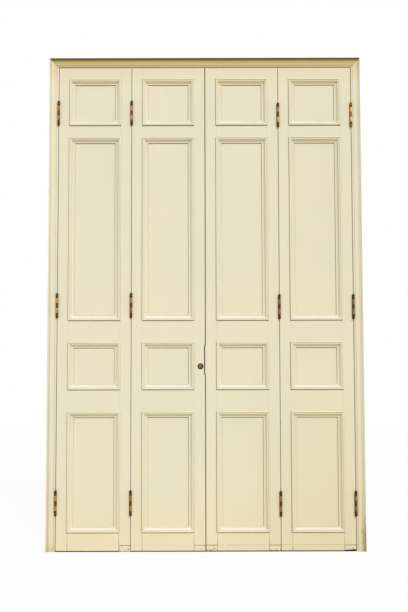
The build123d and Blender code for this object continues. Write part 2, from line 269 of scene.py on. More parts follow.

# %% [markdown]
# ## Satin oil paint on timber
#
# The door has many coats of cream oil paint, brushed along each piece of wood.  To the eye that gives a low
# satin gloss, faint brush lines that run with the grain, slow patches of warmer and cooler cream, and an
# olive-brown film of dirt where a cloth doesn't reach, laid on together with painted shade.
#
# An ambient occlusion node finds such places: it tells how closely other surfaces stand round a point.
# The colour it lays is dirt and painted shade at once.  Both lie under ledges and hardly on top of them, as a
# lamp high on the right leaves shade, so the node gets a normal that leans up and to the right: then only
# what stands above or to the right of a point counts.  Such a node also sees the inner side of a board's own
# edge, so a second one with the plain normal says where there is a corner at all.  It finds the narrow gaps
# too, and paints their shade nearly black whichever way they run, the one in the middle most.
#
# Brush lines are a noise pattern stretched fifty times along the wood: about 1.5 mm from one bristle line
# to the next, and drawn a little coarser than the real ones so that they still show.

# %% The paint
CREAM = "#E9E1C5"
CREAM_WARM = "#E8DBB8"
CREAM_COOL = "#E5E0C5"
STREAK = "#DCD2AE"
PAINTED_HIGHLIGHT = "#F8F3F4"
UNDERSIDE_SHADE = "#DFC98C"
DIRT_AND_SHADE = "#8F6A14"
DEEP_DIRT_AND_SHADE = "#33240A"
PAINT_IOR = 1.48

# A painted highlight on what faces up and a painted shade on what faces down go by how far a face looks up,
# from -1 to 1: each pair says where it starts and where it is full.
FACING_UP = (0.15, 0.6)
FACING_DOWN = (-0.15, -0.7)
PAINTED_LIGHT_SHARE = 0.5

# Dirt and painted shade lie by occlusion, which is 1 in the open and 0 deep inside, with pairs of the same
# kind.
DIRT_AND_SHADE_REACH = 6 * MM
LEDGE_SIDE = (0.32, 0.0, 0.80)
CORNERS = (0.97, 0.88)
LEDGES = (0.86, 0.50)
DARK_LEDGES = (0.60, 0.40)
GAPS = (0.30, 0.16)
DARK_GAPS = (0.20, 0.08)
# From this height up the painted shade under ledges is at its darkest.
SHADE_DARKEST_HEIGHT = 1.6

# The surface: brush lines, the slow unevenness of thick paint, and patches of tone.
BRISTLE_MM = 1.5
BRISTLE_DEPTH_MM = 0.12
PEEL_PER_M = 90.0
PEEL_DEPTH_MM = 0.35
STREAKS_PER_M = 120.0
PATCH_M = 0.45
BRUSH_STRETCH = 50.0
STRETCHES = {"upright": (1, 1, 1 / BRUSH_STRETCH),
             "level": (1 / BRUSH_STRETCH, 1, 1),
             "short": (0.25, 0.25, 0.25)}


def brushed_bump(tree, place, brushing, strength):
    """Brush lines and the slow unevenness of thick paint, as a normal."""
    stretched = add_node(tree, "ShaderNodeMapping", {"Vector": place, "Scale": STRETCHES[brushing]})
    bristles = noise(tree, stretched.outputs[0], 1 / (BRISTLE_MM * MM), 3.0, 0.55)
    orange_peel = noise(tree, place, PEEL_PER_M, 2.0)
    fine = add_node(tree, "ShaderNodeBump", {"Height": bristles, "Strength": strength,
                                             "Distance": BRISTLE_DEPTH_MM * MM})
    return add_node(tree, "ShaderNodeBump", {"Height": orange_peel, "Strength": strength,
                                             "Distance": PEEL_DEPTH_MM * MM,
                                             "Normal": fine.outputs[0]}).outputs[0]


def painted_highlight_and_underside_shade(tree, colour):
    """A pale painted highlight on what faces up, and a tan painted shade on what faces down."""
    facing = add_node(tree, "ShaderNodeNewGeometry").outputs["Normal"]
    upward = add_node(tree, "ShaderNodeSeparateXYZ", {"Vector": facing}).outputs["Z"]
    above = in_range(tree, upward, *FACING_UP, 0.0, PAINTED_LIGHT_SHARE)
    below = in_range(tree, upward, *FACING_DOWN, 0.0, PAINTED_LIGHT_SHARE)
    colour = blend_colours(tree, above, colour, paint_colour(PAINTED_HIGHLIGHT))
    return blend_colours(tree, below, colour, paint_colour(UNDERSIDE_SHADE))


def corner_dirt_and_shade(tree, colour, amount):
    """Olive-brown dirt with painted shade under ledges, darker high up, and painted shade nearly black in
    narrow gaps; and its amount.
    """
    facing = add_node(tree, "ShaderNodeNewGeometry").outputs["Normal"]
    leaning = add_node(tree, "ShaderNodeVectorMath", {0: facing, 1: LEDGE_SIDE}, operation="ADD").outputs[0]
    leaning = add_node(tree, "ShaderNodeVectorMath", {0: leaning}, operation="NORMALIZE").outputs[0]
    ledges = add_node(tree, "ShaderNodeAmbientOcclusion", {"Distance": DIRT_AND_SHADE_REACH, "Normal": leaning},
                      samples=12).outputs["AO"]
    corners = add_node(tree, "ShaderNodeAmbientOcclusion", {"Distance": DIRT_AND_SHADE_REACH}, samples=16).outputs["AO"]
    place = add_node(tree, "ShaderNodeTexCoord").outputs["Object"]
    along = add_node(tree, "ShaderNodeSeparateXYZ", {"Vector": place})
    darker_high_up = in_range(tree, along.outputs["Z"], SHADE_DARKEST_HEIGHT - 0.6, SHADE_DARKEST_HEIGHT, 0.8, 1.0)
    cornered = in_range(tree, corners, *CORNERS)
    film = times(tree, in_range(tree, ledges, *LEDGES, 0.0, amount), cornered)
    film = larger(tree, film, in_range(tree, corners, *GAPS, 0.0, 0.9))
    colour = blend_colours(tree, film, colour, paint_colour(DIRT_AND_SHADE))
    heavy = times(tree, in_range(tree, ledges, *DARK_LEDGES, 0.0, amount), darker_high_up, cornered)
    # The painted shade in the gaps is darkest in the meeting gap at the door's middle.
    middle = in_range(tree, near_line(tree, along.outputs["X"], door_middle, 8 * MM), 0.0, 1.0, 0.4, 0.95)
    deep = larger(tree, heavy, times(tree, in_range(tree, corners, *DARK_GAPS), middle))
    return blend_colours(tree, deep, colour, paint_colour(DEEP_DIRT_AND_SHADE)), film


def satin_paint(name, brushing, extra_colour=None, roughness=0.40, bump=0.5, shade_and_dirt=0.85):
    """Brushed cream oil paint; extra_colour may add a piece's own stains, cracks and painted shadow, after
    the painted highlights and before the dirt and painted shade.
    """
    material, tree = new_material(name)
    place = add_node(tree, "ShaderNodeTexCoord").outputs["Object"]
    along = add_node(tree, "ShaderNodeSeparateXYZ", {"Vector": place})
    patches = noise(tree, place, 1 / PATCH_M, 2.0)
    tone = in_range(tree, patches, 0.40, 0.62)
    colour = blend_colours(tree, tone, paint_colour(CREAM_COOL), paint_colour(CREAM))
    # Warmer cream towards the floor, and a painted shade of the wall above on the leaves' tops.
    low_warmth = in_range(tree, along.outputs["Z"], 0.30, 0.02, 0.0, 0.7)
    painted_top_shade = in_range(tree, along.outputs["Z"], leaf_high - 0.09, leaf_high - 0.03, 0.0, 0.9)
    colour = blend_colours(tree, larger(tree, low_warmth, painted_top_shade), colour, paint_colour(CREAM_WARM))
    stretched = add_node(tree, "ShaderNodeMapping", {"Vector": place, "Scale": STRETCHES[brushing]})
    streaks = noise(tree, stretched.outputs[0], STREAKS_PER_M, 4.0)
    colour = blend_colours(tree, in_range(tree, streaks, 0.35, 0.75, 0.0, 0.12), colour, paint_colour(STREAK))
    # Darker towards the right-hand leaves, more so low down.
    darker_right_side = times(tree, in_range(tree, along.outputs["X"], door_middle, frame_high.x - 0.2),
                      in_range(tree, along.outputs["Z"], 0.9, 0.1, 0.2, 0.75))
    colour = blend_colours(tree, darker_right_side, colour, paint_colour(STREAK))
    colour = painted_highlight_and_underside_shade(tree, colour)
    if extra_colour:
        colour = extra_colour(tree, place, along, colour)
    colour, film = corner_dirt_and_shade(tree, colour, shade_and_dirt)
    gloss = in_range(tree, patches, 0.35, 0.65, roughness - 0.05, roughness + 0.08)
    surface = {"Base Color": colour, "Roughness": larger(tree, gloss, film), "IOR": PAINT_IOR,
               "Normal": brushed_bump(tree, place, brushing, bump)}
    shader = add_node(tree, "ShaderNodeBsdfPrincipled", surface)
    add_node(tree, "ShaderNodeOutputMaterial", {"Surface": shader.outputs[0]})
    return material


print("dirt reaches", DIRT_AND_SHADE_REACH / MM, "mm out of a corner")

# %% [markdown]
# The head has a painted shadow of the wall above along its upper edge, nearly black-brown at the very top
# and fading to cream at the bead.  It is a tint by height, laid over the same paint.  The jambs' tops have
# a little of it too.  The mitres between head and jambs have opened: a hair crack runs along each, drawn
# where the distance in from the side equals the distance down from the top, and only level with the head.

# %% Paint for the head, with its painted shadow
WALL_SHADOW = "#6A541C"
WALL_SHADOW_HAZE = "#B7A45C"
WALL_SHADOW_DEPTH = (0.0135, 0.0065)  # how far below the head's top it starts and is full
SHADOW_HAZE_DEPTH = (0.046, 0.014)
MITRE_COLOUR = "#8C7434"
LEFT_MITRE = 1.1 * MM
RIGHT_MITRE = 0.7 * MM


def mitre_cracks(tree, along, colour):
    """The hair cracks along the frame's two mitres."""
    x, z = along.outputs["X"], along.outputs["Z"]
    left = near_line(tree, maths(tree, "ADD", x, z), frame_low.x + head_top, LEFT_MITRE)
    right = near_line(tree, maths(tree, "SUBTRACT", z, x), head_top - frame_high.x, RIGHT_MITRE)
    high_up = in_range(tree, z, head_low - 2 * MM, head_low, 0.0, 0.8)
    cracks = times(tree, larger(tree, left, right), high_up)
    return blend_colours(tree, cracks, colour, paint_colour(MITRE_COLOUR))


def painted_shadow_by_height(tree, place, along, colour):
    """A painted olive-brown shadow that deepens towards the head's top edge."""
    height = along.outputs["Z"]
    shadow_haze = in_range(tree, height, head_top - SHADOW_HAZE_DEPTH[0], head_top - SHADOW_HAZE_DEPTH[1], 0.45, 0.95)
    colour = blend_colours(tree, shadow_haze, colour, paint_colour(WALL_SHADOW_HAZE))
    band = in_range(tree, height, head_top - WALL_SHADOW_DEPTH[0], head_top - WALL_SHADOW_DEPTH[1])
    return mitre_cracks(tree, along, blend_colours(tree, band, colour, paint_colour(WALL_SHADOW)))


head_paint = satin_paint("oil_paint_head_painted_shadow", "level", painted_shadow_by_height, roughness=0.5)
print("head paint made")

# %% [markdown]
# The jambs are cleaner than the leaves' corners, but a brown line of dirt and painted shade follows the left
# one's raised edge, and their feet are stained: mops and wet shoes have left a grey-brown stain on the right
# one, darkest along its outer edge and ending at shin height, and a rusty tan on the lowest 40 mm of the left
# one.

# %% Paint for the jambs
STAIN = "#8A7338"
STAIN_HEIGHT = 0.19
LEFT_STAIN = "#C2A666"
LEFT_STAIN_HEIGHT = 0.040
EDGE_LINE = 10 * MM
EDGE_LINE_HALF_WIDTH = 2.6 * MM


def jamb_stains_and_shade(tree, place, along, colour):
    """A painted shadow below the head, the line of dirt and painted shade beside the raised edge, the mitres,
    and stains at both feet.
    """
    x, z = along.outputs["X"], along.outputs["Z"]
    # A painted shadow of the wall above, just below the head.
    shadow_haze = in_range(tree, z, head_low - 0.06, head_top - 0.010, 0.0, 0.35)
    colour = blend_colours(tree, shadow_haze, colour, paint_colour(WALL_SHADOW_HAZE))
    mottled = in_range(tree, noise(tree, place, 45.0, 3.0), 0.3, 0.6, 0.45, 0.85)
    # Dirt with painted shade along the step beside the left jamb's raised edge.
    edge_line = near_line(tree, x, frame_low.x + EDGE_LINE, EDGE_LINE_HALF_WIDTH)
    edge_line = times(tree, edge_line, in_range(tree, z, 0.25, 0.05, 0.25, 0.38))
    colour = blend_colours(tree, edge_line, colour, paint_colour(DIRT_AND_SHADE))
    outer = in_range(tree, x, frame_high.x - 0.030, frame_high.x - 0.003)
    shin = times(tree, outer, in_range(tree, z, STAIN_HEIGHT, 0.09), mottled)
    colour = blend_colours(tree, shin, colour, paint_colour(STAIN))
    left_side = in_range(tree, x, frame_low.x + 0.060, frame_low.x + 0.040)
    rusty = times(tree, left_side, in_range(tree, z, LEFT_STAIN_HEIGHT, 0.010, 0.0, 0.5), mottled)
    colour = blend_colours(tree, rusty, colour, paint_colour(LEFT_STAIN))
    return mitre_cracks(tree, along, colour)


jamb_paint = satin_paint("satin_oil_paint_jambs", "upright", jamb_stains_and_shade, shade_and_dirt=0.45)
print("jamb paint made")

# %% [markdown]
# The let-in pieces at the stiles' feet took their paint later and take the knocks of brooms and shoes: they
# are a little darker, mottled, and chipped to brown primer in a few small spots near the floor.  The joint
# along their top has opened.  The stiles' joints with the bottom rails have opened too, and the paint has
# cracked along them, which no other joint of the door shows.  Level with the pieces' tops a faint line
# crosses the bottom rails, plainer on the right-hand pair.  A crack is narrower than a pixel, so it is
# drawn over two millimetres wide, with soft edges, and broken up by noise.

# %% Cracks along the lowest joints
CRACK_COLOUR = "#7E6836"
CRACK_HALF_WIDTH = 0.8 * MM
CROSS_LINE_HALF_WIDTH = 0.7 * MM
JOINTS_X = [x for leaf in LEAVES
            for x in (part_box(f"{leaf}_left_stile")[1].x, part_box(f"{leaf}_right_stile")[0].x)]
BOTTOM_RAIL_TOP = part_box("leaf_1_front_mouldings")[0].z
REPAIR_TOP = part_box("stile_foot_repairs")[1].z


def joint_cracks(tree, place, along, colour):
    """Broken brown lines along the stiles' joints with the bottom rail, and the faint one across it."""
    x, z = along.outputs["X"], along.outputs["Z"]
    lines = 0.0
    for joint in JOINTS_X:
        lines = larger(tree, lines, near_line(tree, x, joint, CRACK_HALF_WIDTH))
    broken = noise(tree, place, 30.0, 3.0)
    low_down = in_range(tree, z, BOTTOM_RAIL_TOP, BOTTOM_RAIL_TOP - 0.05, 0.25, 0.8)
    below = in_range(tree, z, BOTTOM_RAIL_TOP + 2 * MM, BOTTOM_RAIL_TOP)
    upright = times(tree, lines, below, low_down, in_range(tree, broken, 0.3, 0.55, 0.4, 1.0))
    across = times(tree, near_line(tree, z, REPAIR_TOP, CROSS_LINE_HALF_WIDTH),
                   in_range(tree, x, door_middle - 0.05, door_middle, 0.12, 0.5),
                   in_range(tree, broken, 0.35, 0.5, 0.3, 1.0))
    return blend_colours(tree, larger(tree, upright, across), colour, paint_colour(CRACK_COLOUR))


upright_paint = satin_paint("satin_oil_paint_upright", "upright", joint_cracks)
level_paint = satin_paint("satin_oil_paint_level", "level", joint_cracks)
panel_paint = satin_paint("satin_oil_paint_panels", "upright", shade_and_dirt=1.0)
moulding_paint = satin_paint("satin_oil_paint_mouldings", "short", bump=0.35, shade_and_dirt=0.35)
print("joints at", [round(x, 3) for x in JOINTS_X])

# %% Knocked paint for the repaired feet
PRIMER = "#6E4A22"
KNOCKED = "#C8B98C"
TOP_JOINT_HALF_WIDTH = 1.4 * MM
SIDE_JOINT_HALF_WIDTH = 1.2 * MM


def knocks(tree, place, along, colour):
    """Mottled dirt, small chips that reach the brown primer, and the open joints at the top and side."""
    mottle = noise(tree, place, 160.0, 3.0)
    colour = blend_colours(tree, in_range(tree, mottle, 0.5, 0.72, 0.0, 0.25), colour, paint_colour(KNOCKED))
    low_down = in_range(tree, along.outputs["Z"], REPAIR_TOP, 0.006, 0.0, 0.14)
    chips = maths(tree, "ADD", noise(tree, place, 210.0, 1.0), low_down)
    colour = blend_colours(tree, in_range(tree, chips, 0.74, 0.77), colour, paint_colour(PRIMER))
    top_joint = near_line(tree, along.outputs["Z"], REPAIR_TOP - 0.5 * MM, TOP_JOINT_HALF_WIDTH)
    side_joint = near_line(tree, along.outputs["X"], JOINTS_X[1] + 0.5 * MM, SIDE_JOINT_HALF_WIDTH)
    broken = in_range(tree, mottle, 0.35, 0.5, 0.5, 1.0)
    opened = times(tree, larger(tree, top_joint, side_joint), broken)
    colour = blend_colours(tree, opened, colour, paint_colour(CRACK_COLOUR))
    return joint_cracks(tree, place, along, colour)


foot_paint = satin_paint("knocked_oil_paint_feet", "upright", knocks, roughness=0.5, bump=0.8)
print("foot paint made")

# %% [markdown]
# ## Paint on the timber nodes
#
# The stiles, rails, panels, jambs and head keep the model's own meshes.  Each gets the paint brushed along
# its wood, and a small rounded edge: planed arrises are never sharp once they are painted.  The nodes are
# loose triangles, so a Weld modifier joins them before the Bevel rounds their edges.

# %% Soft edges and paint on the CAD nodes
ARRIS_MM = 0.7
FINE_ARRIS_MM = 0.3
WELD_MM = 0.01
SHARP_ANGLE = math.radians(40)


def soften(node, width_mm):
    """Joins the node's triangles and rounds its sharp edges."""
    weld = node.modifiers.new("join", "WELD")
    weld.merge_threshold = WELD_MM * MM
    bevel = node.modifiers.new("arris", "BEVEL")
    bevel.width = width_mm * MM
    bevel.segments = 2
    bevel.limit_method = "ANGLE"
    bevel.angle_limit = SHARP_ANGLE
    bevel.harden_normals = True


def dress(name, material, width_mm):
    """A CAD node with its paint and its softened edges."""
    node = nodes[name]
    node.data.materials.clear()
    node.data.materials.append(material)
    soften(node, width_mm)


for leaf in LEAVES:
    dress(f"{leaf}_left_stile", upright_paint, ARRIS_MM)
    dress(f"{leaf}_right_stile", upright_paint, ARRIS_MM)
    dress(f"{leaf}_rails", level_paint, FINE_ARRIS_MM)
    dress(f"{leaf}_panels", panel_paint, FINE_ARRIS_MM)
    dress(f"{leaf}_back_mouldings", moulding_paint, FINE_ARRIS_MM)
dress("left_jamb", jamb_paint, FINE_ARRIS_MM)
dress("right_jamb", jamb_paint, FINE_ARRIS_MM)
dress("head", head_paint, FINE_ARRIS_MM)
dress("stile_foot_repairs", foot_paint, ARRIS_MM)
dress("keeper_strip", upright_paint, FINE_ARRIS_MM)
print("painted", 5 * len(LEAVES) + 5, "nodes")

# %% [markdown]
# ## Measuring repeated shapes
#
# The nodes hold several like solids each: four moulding frames on a leaf, three hinges on a line.  A helper
# reads how high each of them reaches, by merging the heights of the triangles that overlap.

# %% Heights of the solids in a node
def height_spans(name):
    """The (low, high) of each group of a node's triangles, from the floor up."""
    mesh = nodes[name].data
    spans = sorted((min(zs), max(zs)) for zs in
                   ([mesh.vertices[index].co.z for index in face.vertices] for face in mesh.polygons))
    merged = [list(spans[0])]
    for low, high in spans[1:]:
        if low > merged[-1][1] + 0.1 * MM:
            merged.append([low, high])
        merged[-1][1] = max(merged[-1][1], high)
    return merged


opening_spans = height_spans("leaf_1_front_mouldings")
hinge_spans = {line: height_spans(f"{line}_hinge_left_plates") for line in HINGE_LINES}
print("moulding frames", [[round(z, 3) for z in span] for span in opening_spans])
print("hinges on the left jamb", [[round(z, 3) for z in span] for span in hinge_spans["left_jamb"]])

# %% [markdown]
# ## The panels' mouldings
#
# Each panel is framed by a bolection moulding: a strip thicker than the step it covers, so that its round
# nosing stands proud of the stiles and laps their joint.  Inside the nosing the section steps down to a
# band, runs in a cove to a broad fillet, and meets the panel.  A joiner planes it in one length and
# cuts the strips to 45 degrees.
#
# In Blender a picture frame of this kind can be made from one rectangle: extrude it, move it out or in by
# the profile's next step and scale it so that each side moves by the same amount.  The corners then mitre
# themselves.  When the last rectangle is back on the first, the two faces are deleted and the frame closes.

# %% The moulding's profile
LAP_MM = 3.0
MOULDING_WIDTH_MM = 28.8
FRAME_MM = (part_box("leaf_1_front_mouldings")[1].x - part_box("leaf_1_front_mouldings")[0].x) / MM
PANEL_DROP_MM = (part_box("leaf_1_panels")[0].y - leaf_front) / MM
NOSING_PROUD_MM = (leaf_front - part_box("leaf_1_front_mouldings")[0].y) / MM
SMOOTH_ANGLE = math.radians(34)


def arc(centre, radius, start, end, steps=6):
    """Points on an arc as (inwards, outwards), from one angle in degrees to another."""
    angles = [math.radians(start + (end - start) * step / steps) for step in range(steps + 1)]
    return [(centre[0] + radius * math.cos(a), centre[1] + radius * math.sin(a)) for a in angles]


def cove(start, bend, end, steps=8):
    """Points on a hollow curve that leaves start towards the bend and comes into end from it."""
    shares = [step / steps for step in range(steps + 1)]
    return [tuple((1 - t) ** 2 * a + 2 * t * (1 - t) * b + t ** 2 * c for a, b, c in zip(start, bend, end))
            for t in shares]


def bolection_profile():
    """Nosing, step, band, cove and fillet, then back under it all, in millimetres from the opening's edge."""
    nosing, panel, inner = NOSING_PROUD_MM, -PANEL_DROP_MM, MOULDING_WIDTH_MM - LAP_MM
    outer = [(-LAP_MM, 0)] + arc((-LAP_MM + 3.0, nosing - 3.0), 3.0, 180, 90)
    step = arc((1.6, nosing - 1.4), 1.4, 80, 0, 4) + [(3.0, 3.6)]
    band = [(3.5, 3.3), (6.8, 3.6)] + arc((8.0, 1.7), 1.9, 90, 30, 4)
    hollow = cove((10.4, 0.8), (12.2, panel + 5.0), (inner - 5.8, panel + 3.0))
    fillet = [(inner - 5.2, panel + 3.8)] + arc((inner - 0.7, panel + 3.1), 0.7, 90, 0, 3)
    return outer + step + band + hollow + fillet + [(inner, panel), (0, panel), (0, 0)]


print("moulding frame", round(FRAME_MM), "mm wide, panel", round(PANEL_DROP_MM, 1), "mm down, nosing proud",
      round(NOSING_PROUD_MM, 1))

# %% A mitred frame from one rectangle
def select_only(*objects):
    """Leaves object mode's selection at these objects, the last one active."""
    bpy.ops.object.select_all(action="DESELECT")
    for item in objects:
        item.select_set(True)
    bpy.context.view_layer.objects.active = objects[-1]


def mitred_frame(name, width, height, profile):
    """A closed moulding round a rectangle of this size, centred on the origin and facing -Y."""
    half_x, half_z = width / 2, height / 2
    bpy.ops.object.select_all(action="DESELECT")
    bpy.ops.mesh.primitive_plane_add(size=1, rotation=(math.pi / 2, 0, 0))
    piece = bpy.context.active_object
    piece.name = name
    inset, out = profile[0]
    piece.scale = (2 * (half_x - inset * MM), 2 * (half_z - inset * MM), 1)
    bpy.ops.object.transform_apply(location=False, rotation=True, scale=True)
    bpy.ops.object.mode_set(mode="EDIT")
    bpy.ops.mesh.select_all(action="SELECT")
    for next_inset, next_out in profile[1:] + profile[:1]:
        bpy.ops.mesh.extrude_region_move(TRANSFORM_OT_translate={"value": (0, -(next_out - out) * MM, 0)})
        across = (half_x - next_inset * MM) / (half_x - inset * MM)
        upward = (half_z - next_inset * MM) / (half_z - inset * MM)
        bpy.ops.transform.resize(value=(across, 1, upward), center_override=(0, -next_out * MM, 0))
        inset, out = next_inset, next_out
    bpy.ops.mesh.select_all(action="DESELECT")
    bpy.ops.object.mode_set(mode="OBJECT")
    whole = 0.9 * (width + 2 * LAP_MM * MM) * (height + 2 * LAP_MM * MM)
    for face in piece.data.polygons:
        face.select = face.area > whole
    bpy.ops.object.mode_set(mode="EDIT")
    bpy.ops.mesh.delete(type="FACE")
    bpy.ops.mesh.select_all(action="SELECT")
    bpy.ops.mesh.remove_doubles(threshold=0.001 * MM)
    bpy.ops.mesh.normals_make_consistent(inside=False)
    bpy.ops.object.mode_set(mode="OBJECT")
    bpy.ops.object.shade_smooth_by_angle(angle=SMOOTH_ANGLE)
    return piece


def placed_copy(piece, name, place):
    """A copy with its own mesh, moved there in the mesh so that the object stays at the origin."""
    copy = piece.copy()
    copy.data = piece.data.copy()
    copy.name = name
    bpy.context.scene.collection.objects.link(copy)
    select_only(copy)
    copy.location = place
    bpy.ops.object.transform_apply(location=True, rotation=False, scale=False)
    return copy


def joined(name, parts):
    """Several pieces as one, named."""
    select_only(*parts)
    bpy.ops.object.join()
    piece = bpy.context.active_object
    piece.name = name
    piece.data.name = name
    return piece


profile = bolection_profile()
opening_width = (FRAME_MM - 2 * LAP_MM) * MM
frames = [mitred_frame(f"frame_{index}", opening_width, high - low - 2 * LAP_MM * MM, profile)
          for index, (low, high) in enumerate(opening_spans)]
print(len(frames), "frames modelled, each with", len(frames[0].data.polygons), "faces")

# %% Four frames on each leaf
for leaf in LEAVES:
    low_corner, high_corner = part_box(f"{leaf}_front_mouldings")
    middle_x = (low_corner.x + high_corner.x) / 2
    copies = [placed_copy(piece, f"{leaf}_copy_{index}", (middle_x, leaf_front, (low + high) / 2))
              for index, (piece, (low, high)) in enumerate(zip(frames, opening_spans))]
    mouldings = joined(f"{leaf}_panel_mouldings", copies)
    mouldings.data.materials.clear()
    mouldings.data.materials.append(moulding_paint)
    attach(mouldings, "root")
    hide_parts(f"{leaf}_front_mouldings")
for piece in frames:
    bpy.data.objects.remove(piece)
print("mouldings on", len(LEAVES), "leaves")

# %% [markdown]
# ## Old brass
#
# The hinges are cast brass that was never lacquered.  Where hands and cleaning cloths reach it stays a
# rubbed gold; in the joints between knuckles and on the knuckles that turn against the jamb it has gone a
# dark olive-brown.  All of it is one metal: only the film of tarnish on it differs, which also dulls it.
# Spots of tarnish on such hinges are a few millimetres wide, and a second, very slow noise makes some
# hinges duller than others.

# %% Brass with its tarnish
TARNISH_SPOT_MM = 6.0
TARNISH_REACH = 5 * MM
DULL_HINGES_PER_M = 2.3
DULLNESS = 0.16
PIT_DEPTH = 0.3 * MM


def old_brass(name, bright, dark, share, roughness):
    """Unlacquered brass: bright where rubbed, dark where tarnished; share is how much of it is dark."""
    material, tree = new_material(name)
    place = add_node(tree, "ShaderNodeTexCoord").outputs["Object"]
    spots = noise(tree, place, 1 / (TARNISH_SPOT_MM * MM), 4.0, 0.6)
    each_hinge = noise(tree, place, DULL_HINGES_PER_M, 0.0)
    uneven = in_range(tree, each_hinge, 0.3, 0.7, -DULLNESS, DULLNESS)
    spotted = maths(tree, "ADD", spots, uneven)
    tarnish = in_range(tree, spotted, 0.72 - share * 0.5, 0.52 - share * 0.5, 1.0, 0.0)
    corners = add_node(tree, "ShaderNodeAmbientOcclusion", {"Distance": TARNISH_REACH}, samples=8)
    film = larger(tree, tarnish, in_range(tree, corners.outputs["AO"], 0.75, 0.35))
    colour = blend_colours(tree, film, paint_colour(bright), paint_colour(dark))
    gloss = in_range(tree, film, 0.0, 1.0, roughness, roughness + 0.25)
    pits = add_node(tree, "ShaderNodeBump", {"Height": spots, "Strength": 0.35, "Distance": PIT_DEPTH})
    surface = {"Base Color": colour, "Metallic": 0.85, "Roughness": gloss, "Normal": pits.outputs[0]}
    shader = add_node(tree, "ShaderNodeBsdfPrincipled", surface)
    add_node(tree, "ShaderNodeOutputMaterial", {"Surface": shader.outputs[0]})
    return material


rubbed_brass = old_brass("rubbed_cast_brass", "#DDB46A", "#93703A", 0.25, 0.36)
handled_brass = old_brass("handled_cast_brass", "#A87A44", "#65441F", 0.5, 0.40)
tarnished_brass = old_brass("tarnished_cast_brass", "#8F7336", "#554319", 0.55, 0.48)
print("three states of one brass")

# %% [markdown]
# ## Five-knuckle butt hinges
#
# A butt hinge is two plates whose edges are rolled into knuckles that interlock round one pin.  The plates
# are let into the timber and only their front edges show; the barrel of knuckles stands proud of the door.
# One hinge is modelled once, each side by itself, and copied to the twelve places.  The knuckles' rims are
# bevelled, because the fine dark lines between them are what makes a barrel read as a hinge.

# %% The sizes of a hinge
KNUCKLES = 5
pins_low, pins_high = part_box("left_jamb_hinge_pins")
plates_low, plates_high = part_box("left_jamb_hinge_left_plates")
knuckle_radius = (plates_high.x - plates_low.x) / 2
pin_radius = (pins_high.x - pins_low.x) / 2
hinge_height = hinge_spans["left_jamb"][0][1] - hinge_spans["left_jamb"][0][0]
pin_y = (pins_low.y + pins_high.y) / 2
plate_reach = plates_high.y - pin_y
RIM_MM = 0.8
KNUCKLE_GAP_MM = 0.5
PLATE_MM = 2.3
PLATE_GAP_MM = 0.4
PLATE_RIM_MM = 0.4
PLATE_BACK = 0.02
PIN_HEAD_MM = 1.0
KNUCKLE_SIDES = 36
KNUCKLE_METALS = (tarnished_brass, rubbed_brass, handled_brass, rubbed_brass, tarnished_brass)
print("knuckle radius", round(knuckle_radius, 4), "hinge height", round(hinge_height, 4))

# %% Knuckles, plates and pins
def bevelled(piece, width, segments, keep):
    """Bevels the edges for which keep(edge's two points) is true, then smooths the piece."""
    mesh = piece.data
    select_only(piece)
    bpy.ops.object.mode_set(mode="EDIT")
    bpy.ops.mesh.select_mode(type="EDGE")
    bpy.ops.mesh.select_all(action="DESELECT")
    bpy.ops.object.mode_set(mode="OBJECT")
    for edge in mesh.edges:
        edge.select = keep(*(mesh.vertices[index].co for index in edge.vertices))
    bpy.ops.object.mode_set(mode="EDIT")
    bpy.ops.mesh.bevel(offset=width, segments=segments, profile=0.5, affect="EDGES")
    bpy.ops.object.mode_set(mode="OBJECT")
    bpy.ops.object.shade_smooth_by_angle(angle=SMOOTH_ANGLE)
    return piece


def at_one_height(first, second):
    """Whether an edge's two points are equally high, as on a knuckle's rims."""
    return abs(first.z - second.z) < 1e-6


def knuckle(low, high, radius=knuckle_radius):
    """One turned length of the barrel with bevelled rims, upright on the hinge's axis."""
    bpy.ops.object.select_all(action="DESELECT")
    bpy.ops.mesh.primitive_cylinder_add(vertices=KNUCKLE_SIDES, radius=radius, depth=high - low,
                                        location=(0, 0, (low + high) / 2))
    bpy.ops.object.transform_apply(location=True, rotation=False, scale=False)
    return bevelled(bpy.context.active_object, RIM_MM * MM, 3, at_one_height)


def in_metal(piece, metal):
    """The piece with this as its only material."""
    piece.data.materials.clear()
    piece.data.materials.append(metal)
    return piece


def hinge_half(name, side):
    """A plate with its knuckles: side -1 has the outer and middle ones, side 1 the two between."""
    pitch = hinge_height / KNUCKLES
    middle_x = side * (PLATE_GAP_MM + PLATE_MM) / 2 * MM
    half_gap = KNUCKLE_GAP_MM / 2 * MM
    parts = []
    bpy.ops.object.select_all(action="DESELECT")
    bpy.ops.mesh.primitive_cube_add(size=1, location=(middle_x, (plate_reach + knuckle_radius) / 2, 0),
                                    scale=(PLATE_MM * MM, plate_reach - knuckle_radius, hinge_height))
    bpy.ops.object.transform_apply(location=True, rotation=False, scale=True)
    plate = bevelled(bpy.context.active_object, PLATE_RIM_MM * MM, 2,
                     lambda first, second: min(first.y, second.y) > PLATE_BACK)
    parts.append(in_metal(plate, tarnished_brass))
    for index in range(0 if side < 0 else 1, KNUCKLES, 2):
        low = -hinge_height / 2 + index * pitch + (half_gap if index else 0)
        high = -hinge_height / 2 + (index + 1) * pitch - (half_gap if index < KNUCKLES - 1 else 0)
        parts.append(in_metal(knuckle(low, high), KNUCKLE_METALS[index]))
        bpy.ops.object.select_all(action="DESELECT")
        bpy.ops.mesh.primitive_cube_add(size=1, location=(middle_x, knuckle_radius * 0.75, (low + high) / 2),
                                        scale=(PLATE_MM * MM, knuckle_radius * 0.7, high - low))
        bpy.ops.object.transform_apply(location=True, rotation=False, scale=True)
        parts.append(in_metal(bpy.context.active_object, tarnished_brass))
    return joined(name, parts)


